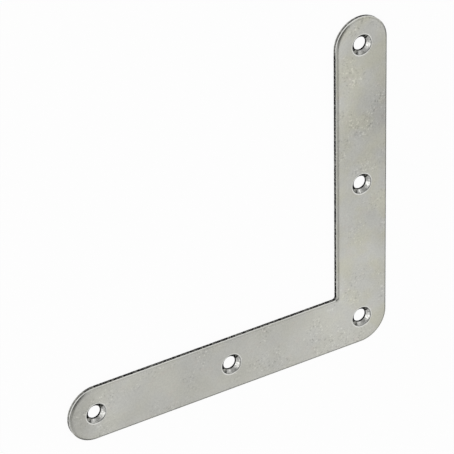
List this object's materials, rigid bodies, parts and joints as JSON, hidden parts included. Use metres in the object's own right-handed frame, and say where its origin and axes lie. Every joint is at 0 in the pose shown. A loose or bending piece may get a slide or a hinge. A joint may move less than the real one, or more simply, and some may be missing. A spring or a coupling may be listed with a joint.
{
  "type": "flat corner brace bracket",
  "caption": "Flat L-shaped corner brace of satin stainless sheet with round-ended arms and countersunk screw holes.",
  "frame": {"origin": "on the axis of the corner hole, at the back face", "axes": "+Z from the back face to the countersunk front face, +X along one arm, +Y along the other"},
  "size_m": [0.125, 0.125, 0.0018],
  "materials": {
    "satin_stainless": "satin rolled sheet, with a rough torn band along the cut wall and bright turned countersinks"
  },
  "bodies": {
    "root": {"bracket": "satin_stainless"}
  },
  "joints": []
}
